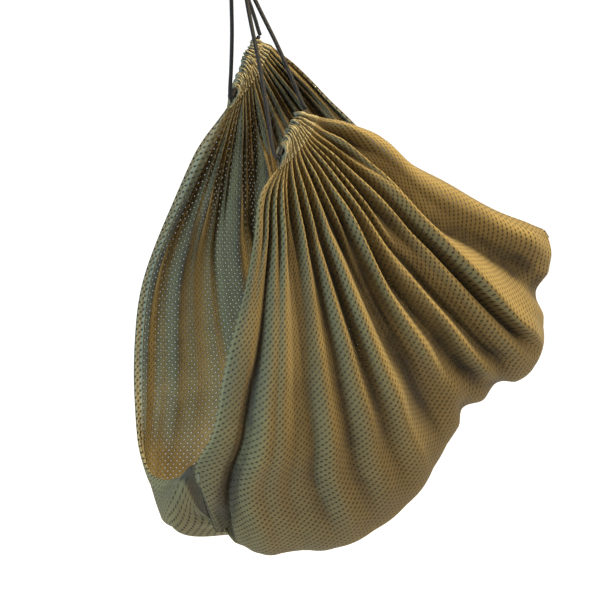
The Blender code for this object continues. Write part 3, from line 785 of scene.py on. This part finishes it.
def half(side, p, q):
    # The smooth half moved along its normals by the main folds, the keel's lobes, the fine pleats and
    # soft ripples, less a crease that fades as an exponential from its line and a sink at the mouth's
    # seam, and by two bell-shaped swells of the back's lip
    base = smoothHalf(side, p, q)
    pp, qq, mask = p[None], q[:, None], sling["mask"]

    def down(name):
        return ramp(qq, *sling["down"][name])

    turn = down("normals")[..., None]
    outward = unit(outwardNormals(base, side) * (1 - turn) + keelOutward(p)[None] * turn)
    beside = (1 - ramp(pp, 0, sling["besideWide"])) * down("beside")
    lobes = tableWave(sling["keelLobes"], p)[None] * milli
    main = foldHeight(side, p, q) * (1 - down("keel")) * (1 - beside) + lobes * down("keel")
    least, more = sling["pleatSharp"]
    fine = pleatWave(side, pp, least + more * down("pleatSharp"))
    fine = fine * pleatHeight(side, base, p, qq) * (1 - beside)
    soft = ripples(pp, qq, sling["softSeed"][side], *sling["softWaves"]) * sling["softHeight"] * down("soft")
    soft = soft * (1 - sling["softLoss"] * beside) * (1 - down("keel"))
    atSeam = (1 - ramp(pp, 0, sling["seamWide"])) * down("seam")
    crease = 0.0
    if side == "front":
        places, line, depths = np.array(sling["crease"]).T
        away = np.abs(pp - np.interp(qq, places, line)) / sling["creaseWide"]
        crease = np.exp(-away) * np.interp(qq, places, depths) * milli * ramp(pp, 0, sling["creaseFrom"])
    lift = main + fine + soft - crease - atSeam * sling["seamSink"]
    if side == "back":
        for along, low, wide, high, height in sling["lipSwells"]:
            lift += np.exp(-(((pp - along) / wide) ** 2) - ((qq - low) / high) ** 2) * height * milli
    grid = base + outward * lift[..., None]
    # Paler along the mouth edge, partly wear and partly painted light
    edge = (1 - ramp(pp, 0, sling["edgeWide"][side])) * (1 - down("edge"))
    # Paler on the crests and darker in the troughs and the crease, as painted light and shade
    foldLightShade = main / mask["main"] + fine / mask["fine"] - crease / mask["crease"]
    # Darker along the seam as painted shade, and paler along the mouth edge
    foldLightShade = np.clip(foldLightShade - atSeam * mask["seam"] + edge * mask["edge"], -1, 1)
    run = np.cumsum(np.linalg.norm(np.diff(base, axis=0, prepend=base[:1]), axis=2), axis=0)
    uv = np.stack([np.broadcast_to(pp * sling["clothWidth"], run.shape), run], axis=-1)
    normal = gridNormals(grid)
    if np.sum(normal * outward) < 0:
        normal = -normal
    turn = down("round")[..., None]
    return grid, unit(normal * (1 - turn) + keelOutward(p)[None] * turn), uv, foldLightShade


def clothColumns():
    # Even columns, with more beside each side hem
    even = np.linspace(0, 1, sling["evenColumns"])
    edge = np.linspace(0, sling["edgeShare"], sling["edgeColumns"])
    return np.unique(np.concatenate([even, edge, 1 - edge]))


def clothRows(side):
    # Rows close together towards the keel, where the cloth rounds over, by a power of what is left
    return 1 - (1 - np.linspace(0, 1, sling["rows"][side])) ** sling["rowsCloser"]


across = clothColumns()
halves = {side: half(side, across, clothRows(side)) for side in ("front", "back")}


def overKeel(k):
    # One of the halves' grids, from the front's hem over the keel to the back's hem
    front, back = halves["front"][k], halves["back"][k]
    return np.concatenate([front[:-1], (front[-1:] + back[-1:]) / 2, back[-2::-1]])


middle = overKeel(0)
keelRow = middle[sling["rows"]["front"] - 1]
clothUv = np.concatenate([cornerUv(halves["front"][2]), cornerUv(halves["back"][2][::-1])])
part = thickSheet(middle, unit(overKeel(1)), sling["thickness"], clothUv, overKeel(3))
cloth = addPiece("mesh_cloth", part, meshCloth, "sling", ["front_mesh", "back_mesh"])
print("stage: cloth", len(part[1]) * 2, "triangles")


def addTrim(name, part, node):
    addPiece(name, part, hemCloth, "sling", [node])


# The casings: the cloth's ends turned over each cord and stitched down

casing = {
    "bore": 0.0029, "wall": 0.0009, "clear": 0.0001, "around": 34, "along": 331,
    "ruffle": 0.0013, "overlap": 0.0014, "pleatSharp": 0.2, "turnsOver": (0.6, 0.3),
    "swell": 0.6, "foldMask": 0.7,
    # Ripples: how fast along and round it, seeds of front and back, count, widest, finest, height
    "crumple": (3.0, 1.0, (21, 23), 16, 2.0, 9.0, 0.0012),
    "lumps": (1.4, 0.5, (41, 43), 9, 2.5, 7.0, 0.0016),
    "slide": (2.0, 1.0, (31, 37), 10, 2.0, 6.0, 0.0011),
    "lowestLump": -0.00064,
    # The profile beyond the stitches: shares of the depth and of the stitched edge or of the bore's
    # radius, then shares of that radius alone
    "flat": ((1.0, 1.0), (0.78, 1.5)), "flare": ((0.5, 0.72), (0.2, 0.98)),
    "round": ((0.3, 0.96), (0.78, 0.64), (1.0, 0.0)), "middle": 0.3, "topPower": 1.5,
}


def addSleeve(side):
    # A ruffled sleeve: its profile starts at the stitches, rounds the cord and comes back to the
    # stitches, and is carried along the cord while the pleats of the cloth push it out and in
    p = np.linspace(0, 1, casing["along"])
    ends = gatherEnds(side)
    along, fan = unit(ends[1] - ends[0]), fanWays(side, p)
    sideways = unit(np.cross(along, fan))
    sideways = sideways * np.sign(sideways[:, 1].mean() * (-1.0 if side == "front" else 1.0))
    reach, wall = sling["casingDepth"], casing["wall"]
    r = casing["bore"] + wall / 2
    edge = sling["thickness"] / 2 + wall / 2 + casing["clear"]
    # Half the profile, as distances from the cord's axis: towards the stitches, and sideways
    outline = [(reach + casing["overlap"], edge)] + [(reach * a, edge * b) for a, b in casing["flat"]]
    outline += [(reach * a, r * b) for a, b in casing["flare"]]
    outline += [(-r * a, r * b) for a, b in casing["round"]]
    profile = np.array([(a, b, 0.0) for a, b in outline] + [(a, -b, 0.0) for a, b in outline[-2::-1]])
    t = np.linspace(0, 1, casing["around"])
    profile = smoothCurve(profile, t)[:, :2]
    centre = np.array((reach * casing["middle"], 0.0))
    way = np.gradient(profile, axis=0)
    push = unit(np.stack([-way[:, 1], way[:, 0]], axis=-1))
    push = push * np.where(np.sum(push * (profile - centre), axis=1) < 0, -1.0, 1.0)[:, None]
    axis = (ends[0] + (ends[1] - ends[0]) * p[:, None])[None]
    t = t[:, None]
    onTop = np.sin(np.pi * t) ** casing["topPower"]

    def rippled(name):
        fastAlong, fastRound, seeds, count, widest, finest, height = casing[name]
        seed = seeds[side == "back"]
        return ripples(p[None] * fastAlong, t * fastRound, seed, count, widest, finest) * height

    waves = pleatWave(side, p, casing["pleatSharp"])[None] * (1 - 2 * ramp(t, *casing["turnsOver"]))
    tall = sling["pleatAtHem"] + (casing["ruffle"] - sling["pleatAtHem"]) * onTop
    lumps = np.maximum(rippled("lumps"), casing["lowestLump"])
    rise = waves * tall + (rippled("crumple") + lumps + casing["ruffle"] * casing["swell"]) * onTop
    spot = profile[:, None] + push[:, None] * rise[..., None]
    grid = axis + fan[None] * spot[..., :1] + sideways[None] * spot[..., 1:]
    grid = grid + along * (rippled("slide") * onTop)[..., None]
    normal = gridNormals(grid)
    normal = normal * np.where(np.sum(normal * (grid - axis - fan[None] * centre[0])) < 0, -1.0, 1.0)
    uv = np.stack(np.broadcast_arrays(p[None] * sling["clothWidth"], -runOf(profile)[:, None]), axis=-1)
    # Painted light and shade by the pleats: paler on the crests, darker in the troughs
    mask = np.clip(waves * casing["foldMask"], -1, 1)
    addTrim(f"{side}_sleeve", thickSheet(grid, normal, wall, cornerUv(uv), mask), f"{side}_casing")


for side in ("front", "back"):
    addSleeve(side)
print("stage: casings")

# The hems inside the mouth edges and the tail edges

hem = {
    "width": 0.012, "thickness": 0.0009, "clear": 0.0002, "below": 0.004,
    "sewnFrom": {"front": 0.77, "back": 0.84}, "tailTo": 0.95,
}


def addHem(side, end):
    grid, normal, uv, foldLightShade = halves[side]
    q = clothRows(side)
    share = hem["width"] / sling["clothWidth"]
    columns = np.flatnonzero(across <= share if end == "mouth" else across >= 1 - share)
    last = hem["sewnFrom"][side] if end == "mouth" else hem["tailTo"]
    take = np.ix_(np.flatnonzero((q < last) & (q > hem["below"])), columns)
    inward = -normal[take] * (sling["thickness"] / 2 + hem["clear"] + hem["thickness"] / 2)
    part = thickSheet(grid[take] + inward, normal[take], hem["thickness"], cornerUv(uv[take]), foldLightShade[take])
    addTrim(f"{side}_{end}_hem_strip", part, f"{side}_{end}_hem")


for side in ("front", "back"):
    for end in ("mouth", "tail"):
        addHem(side, end)
print("stage: hems")

# The seams: allowances inside the lines where the halves are sewn together

seam = {
    "allowance": 0.008, "thickness": 0.0010, "rows": 6, "waves": 9,
    "mouthPoints": 30, "mouthFrom": 0.30, "mouthTo": 0.84, "mouthStart": 0.0016,
    "mouthWavy": 0.0006, "mouthLong": 0.1,
    "tailFrom": 0.78, "tailTo": 0.985, "tailStart": sling["thickness"] / 2 + 0.0004,
}


def addSeam(end, line, inward, normal, along, wavy):
    # A strip from a line inwards, with a sine wave that grows towards its free edge
    reach = np.linspace(seam[f"{end}Start"], seam["allowance"], seam["rows"])
    wave = np.sin(np.linspace(0, seam["waves"], len(line)))[:, None] * np.linspace(0, wavy, seam["rows"])
    grid = line[:, None] + inward[:, None] * reach[:, None] + normal[:, None] * wave[..., None]
    uv = np.stack(np.meshgrid(along, reach, indexing="ij"), axis=-1)
    normals = np.repeat(normal[:, None], seam["rows"], axis=1)
    part = thickSheet(grid, normals, seam["thickness"], cornerUv(uv), np.zeros(grid.shape[:2]))
    addTrim(f"{end}_seam_allowance", part, f"{end}_seam")


# The mouth's strip points well inside the sling, and the tail's lies square to the keel
line = smoothCurve(mouthSeamLine, np.linspace(seam["mouthFrom"], seam["mouthTo"], seam["mouthPoints"]))
along = unit(np.gradient(line, axis=0))
inward = squareTo(placeShares(sling["inside"]) - line, along)
run = np.linspace(0, seam["mouthLong"], seam["mouthPoints"])
addSeam("mouth", line, inward, np.cross(along, inward), run, seam["mouthWavy"])
sewn = np.flatnonzero((across > seam["tailFrom"]) & (across < seam["tailTo"]))
line, outward = keelRow[sewn], keelOutward(across[sewn])
normal = unit(np.cross(np.gradient(line, axis=0), outward))
addSeam("tail", line, -outward, normal, across[sewn] * sling["clothWidth"], 0.0)
print("stage: seams")

# Threads: rows of stitches, two bar tacks and two loose ends

thread = {
    "long": 0.0023, "pitch": 0.0031, "radius": 0.00026, "sides": 6, "rise": 0.3, "clear": 0.0002,
    "tackLong": 0.010, "tackWide": 0.0024, "tackTurns": 15, "tackRise": 2.2,
    "straightAt": (-0.25, 0.25), "mouthTackAt": 0.007, "tailTackAt": -8,
    # Where along its casing each loose end starts, and which way it goes
    "loose": {"back": (0.55, (-0.6, -0.3, -0.25)), "front": (0.30, (0.1, -0.8, -0.5))},
    "looseLong": 0.009, "looseRadius": 0.00022, "looseUp": 0.006, "looseAway": (0.3, 0.9, 0.2),
    "looseSag": (0.0, 0.0, 0.002),
}


def stitchRows():
    # Down both hems of each side, and along both faces of each casing
    rows = []
    for side in ("front", "back"):
        grid, normal = halves[side][:2]
        lift = sling["thickness"] / 2 + thread["radius"] * thread["rise"]
        hemLine = np.searchsorted(across, hem["width"] / sling["clothWidth"]) - 1
        last = np.searchsorted(clothRows(side), hem["sewnFrom"][side]) + 1
        mouth, tail = np.s_[:last, hemLine], np.s_[:-2, -1 - hemLine]
        lines = [(grid[mouth], normal[mouth]), (grid[tail], normal[tail])]
        for up in (normal[0], -normal[0]):
            lines.append((grid[0] + up * (casing["wall"] + thread["clear"]), up))
        for path, up in lines:
            rows.append(stitches(path + up * lift, up, thread["long"], thread["pitch"], thread["radius"]))
    return rows


def looseEnds():
    # Two short ends of thread that stick out of the casings' rows of stitches, sagging along a sine
    parts = []
    t = np.linspace(0, 1, 14)[:, None]
    for side, (p, way) in thread["loose"].items():
        start = hemRow(side, [p])[0] - fanWays(side, [p])[0] * thread["looseUp"]
        path = start + unit(way) * t * thread["looseLong"] + np.array(thread["looseSag"]) * np.sin(4 * t)
        parts.append(tube(path, thread["looseRadius"], thread["looseAway"], thread["sides"]))
    return parts


def addTack(end, origin, along, up):
    # A zigzag of thread over two straight ones, on the outside of the cloth
    wide, long, radius = np.cross(along, up), thread["tackLong"], thread["radius"]
    origin = origin + up * sling["thickness"] / 2
    turns = thread["tackTurns"] * 2 + 1
    side = np.where(np.arange(turns) % 2 == 0, -0.5, 0.5)[:, None] * thread["tackWide"]
    t = np.linspace(-0.5, 0.5, turns)[:, None]
    zigzag = origin + along * t * long + wide * side + up * radius * thread["tackRise"]
    paths = [smoothCurve(zigzag, np.linspace(0, 1, turns * 6))]
    t = np.linspace(-0.5, 0.5, 8)[:, None]
    for share in thread["straightAt"]:
        paths.append(origin + along * t * long + wide * share * thread["tackWide"] + up * radius)
    part = joined([tube(path, radius, up, thread["sides"]) for path in paths])
    addPiece(f"{end}_tack_thread", part, oliveThread, "sling", [f"{end}_bar_tack"])


part = joined(stitchRows() + looseEnds())
addPiece("stitching", part, oliveThread, "sling")
grid, normal = halves["front"][:2]
row = np.searchsorted(clothRows("front"), hem["sewnFrom"]["front"])
column = np.searchsorted(across, thread["mouthTackAt"])
along = unit(grid[row + 3, column] - grid[row, column])
addTack("mouth", grid[row, column] + along * thread["tackLong"] / 2, along, normal[row + 1, column])
column = len(across) + thread["tailTackAt"]
along = unit(keelRow[column + 4] - keelRow[column - 4])
addTack("tail", keelRow[column], along, keelOutward(across[column : column + 1])[0])
print("stage: threads", len(part[1]) * 2, "triangles")

# The drawcords, along the routes that their solids follow

drawcord = {
    "diameter": 0.0040, "exit": 0.0044, "knotLength": 0.0135, "eyeWidth": 0.0120,
    "eyeGap": 0.0006, "bow": 0.0012, "bend": 0.0095, "gap": 0.0003, "turns": 3, "knotDeep": 1.2,
    "knot": {"front": (0.006, -0.015, -0.041), "back": (0.004, 0.011, -0.031)},
    "step": 0.0010, "sides": 16, "insidePoints": 60, "routePoints": 400, "eyePoints": (10, 14),
    "knotPoints": 110, "arcPoints": 5,
    # Along the straight part of a leg: shares of its length, and of the bow there
    "straight": ((0.2, 0.6), (0.5, 1.0), (0.85, 0.0)),
}


def cordPiece(name, path, away, body, node):
    part = tube(path, drawcord["diameter"] / 2, away, drawcord["sides"])
    return addPiece(name, part, blackBraid, body, [node])


def legRoute(start, outward, entry, up):
    # Square to the casing at first, round an arc of the bend's radius until it points at the knot,
    # then straight, and along the knot's own axis at the end
    radius = drawcord["bend"]
    elbow = squareTo(entry - start, outward)
    finish = entry - up * drawcord["diameter"]
    corner = start
    for _ in range(4):
        toward = unit(finish - corner)
        turn = np.arccos(np.clip(toward @ elbow, -1, 1))
        corner = start + radius * (elbow * np.sin(turn) + squareTo(toward, elbow) * (1 - np.cos(turn)))
    aside = squareTo(toward, elbow)
    turns = np.linspace(0, turn, drawcord["arcPoints"])
    arc = [start + radius * (elbow * np.sin(a) + aside * (1 - np.cos(a))) for a in turns]
    bow = squareTo(np.array((1.0, 0.0, 0.0)), toward) * drawcord["bow"]
    straight = [corner + (finish - corner) * share + bow * bent for share, bent in drawcord["straight"]]
    return [*arc, *straight, finish, entry]


def makeDrawcord(side, eyeSide):
    # The stretch in the casing, two legs, the turns of the knot and the eye over the hook
    thick, gap, body = drawcord["diameter"], drawcord["gap"], f"{side}_loop"
    ends = gatherEnds(side)
    along = unit(ends[1] - ends[0])
    out = along * drawcord["exit"]
    inside = np.linspace(ends[0] - out, ends[1] + out, drawcord["insidePoints"])
    cordPiece(f"{side}_drawcord_in_casing", inside, (0.2, 0.9, -0.4), "sling", f"{side}_cord_gathered")
    knot = np.array(drawcord["knot"][side])
    top = np.array((0.0, eyeSide * (thick + drawcord["eyeGap"]) / 2, thick / 2))
    length = np.linalg.norm(top - knot)
    up = (top - knot) / length
    right = squareTo(np.array((1.0, 0.0, 0.0)), up)
    away = np.cross(up, right)
    strand = (thick + gap) / 2
    halfKnot = drawcord["knotLength"] / 2 + thick
    bend = drawcord["eyeWidth"] / 2
    for end, outward, hand, name in ((ends[0], -along, -1, "mouth"), (ends[1], along, 1, "tail")):
        start = end + outward * (drawcord["exit"] + thick / 2 + gap * 3)
        entry = knot - up * (halfKnot + gap) + right * hand * strand
        path = smoothCurve(legRoute(start, outward, entry, up), np.linspace(0, 1, drawcord["routePoints"]))
        path = spaced(path, drawcord["step"])
        leg = cordPiece(f"{side}_drawcord_{name}_leg", path, away, body, f"{side}_cord_{name}_leg")
    # The eye: up through the knot, out to its full width, over the hook and back
    shoulder = length - bend
    rising, bending = drawcord["eyePoints"]
    rise = np.linspace(halfKnot, shoulder, rising)
    spread = strand + (bend - strand) * ramp(rise, halfKnot, shoulder - halfKnot)
    over = np.linspace(0, np.pi / 2, bending)[1:]
    heights = np.concatenate([[-halfKnot, 0.0], rise, shoulder + bend * np.sin(over)])
    widths = np.concatenate([[strand, strand], spread, bend * np.cos(over)])
    heights, widths = np.concatenate([heights, heights[-2::-1]]), np.concatenate([widths, -widths[-2::-1]])
    path = spaced(knot + heights[:, None] * up + widths[:, None] * right, drawcord["step"])
    eye = cordPiece(f"{side}_drawcord_eye", path, away, body, f"{side}_cord_eye")
    # The knot: turns wound round both strands
    turn = np.linspace(0, drawcord["turns"] * 2 * np.pi, drawcord["knotPoints"])
    wide, deep = strand + thick + gap, thick * drawcord["knotDeep"]
    wound = (
        knot
        + up * (turn / turn[-1] - 0.5)[:, None] * drawcord["knotLength"]
        + right * np.cos(turn)[:, None] * wide
        + away * np.sin(turn)[:, None] * deep
    )
    turns = cordPiece(f"{side}_drawcord_knot", wound, up, body, f"{side}_cord_knot")


for side, eyeSide in (("front", -1), ("back", 1)):
    makeDrawcord(side, eyeSide)
print("stage: drawcords")

# The studio: a pale floor, soft lamps and the camera

studio = {
    "azimuth": -18.0, "elevation": 18.0, "target": (0.0254, -0.1291, -0.3338), "distance": 2.25,
    "lens": 144.0, "farthest": 100.0, "floorBelow": 0.62, "floorSize": 30.0, "floorGrey": 0.50,
    "floorRough": 0.9, "floorGlow": 0.98, "sky": (0.80, 0.87, 0.92), "skyLight": 0.11,
    "skySeen": 0.89,
    # Each lamp's place, aim, size, power and colour
    "lamps": {
        "warmKey": ((0.66, -0.28, 1.24), (0.12, 0.0, -0.36), 0.3, 70.0, (1.0, 0.80, 0.43)),
        "warmFront": ((1.25, -1.5, 0.40), (0.10, 0.0, -0.36), 0.4, 30.0, (1.0, 0.74, 0.38)),
        "coolSide": ((-0.80, -0.42, -0.50), (-0.05, 0.0, -0.46), 0.35, 9.0, (0.46, 0.78, 1.0)),
    },
}


def aimed(made, place, way):
    made.location = place
    made.rotation_mode = "QUATERNION"
    made.rotation_quaternion = way.to_track_quat("-Z", "Y")
    return made


def addCamera():
    a, e = np.radians((studio["azimuth"], studio["elevation"]))
    back = Vector((np.sin(a) * np.cos(e), -np.cos(a) * np.cos(e), np.sin(e)))
    data = bpy.data.cameras.new("camera")
    data.lens, data.clip_end = studio["lens"], studio["farthest"]
    place = Vector(studio["target"]) + back * studio["distance"]
    bpy.context.scene.camera = aimed(addObject("camera", data), place, -back)


def seenDirectly(tree):
    # 1 for rays from the camera, from reflections and through glass
    path = node(tree, "LightPath").outputs
    share = maths("MAXIMUM", path["Is Camera Ray"], path["Is Glossy Ray"])
    return maths("MAXIMUM", share, path["Is Transmission Ray"])


def addFloor():
    size, level = studio["floorSize"] / 2, cadBox[0].z - studio["floorBelow"]
    corners = [(x * size, y * size, level) for x, y in ((-1, -1), (1, -1), (1, 1), (-1, 1))]
    mesh = bpy.data.meshes.new("floor")
    mesh.from_pydata(corners, [], [(0, 1, 2, 3)])
    look = bpy.data.materials.new("paleFloor")
    look.use_nodes = True
    tree = look.node_tree
    shader = tree.nodes["Principled BSDF"].inputs
    shader["Base Color"].default_value = rgba([studio["floorGrey"]] * 3)
    shader["Roughness"].default_value = studio["floorRough"]
    shader["Emission Color"].default_value = (1, 1, 1, 1)
    link(times(seenDirectly(tree), studio["floorGlow"]), shader["Emission Strength"])
    mesh.materials.append(look)
    addObject("floor", mesh)


def addWorld():
    world = bpy.data.worlds.new("studio")
    bpy.context.scene.world = world
    world.use_nodes = True
    tree = world.node_tree
    back, seen = tree.nodes["Background"].inputs, seenDirectly(tree)
    link(blended(seen, rgba(studio["sky"]), (1, 1, 1, 1)), back["Color"])
    link(plus(times(seen, studio["skySeen"]), studio["skyLight"]), back["Strength"])


def addLamp(name, place, aim, size, power, colour):
    lamp = bpy.data.lights.new(name, "AREA")
    lamp.shape, lamp.size, lamp.energy, lamp.color = "SQUARE", size, power, colour
    aimed(addObject(name, lamp), place, Vector(aim) - Vector(place))


addCamera()
addFloor()
addWorld()
for name, lamp in studio["lamps"].items():
    addLamp(name, *lamp)
bpy.context.scene.view_settings.view_transform = "Standard"
print("stage: studio")
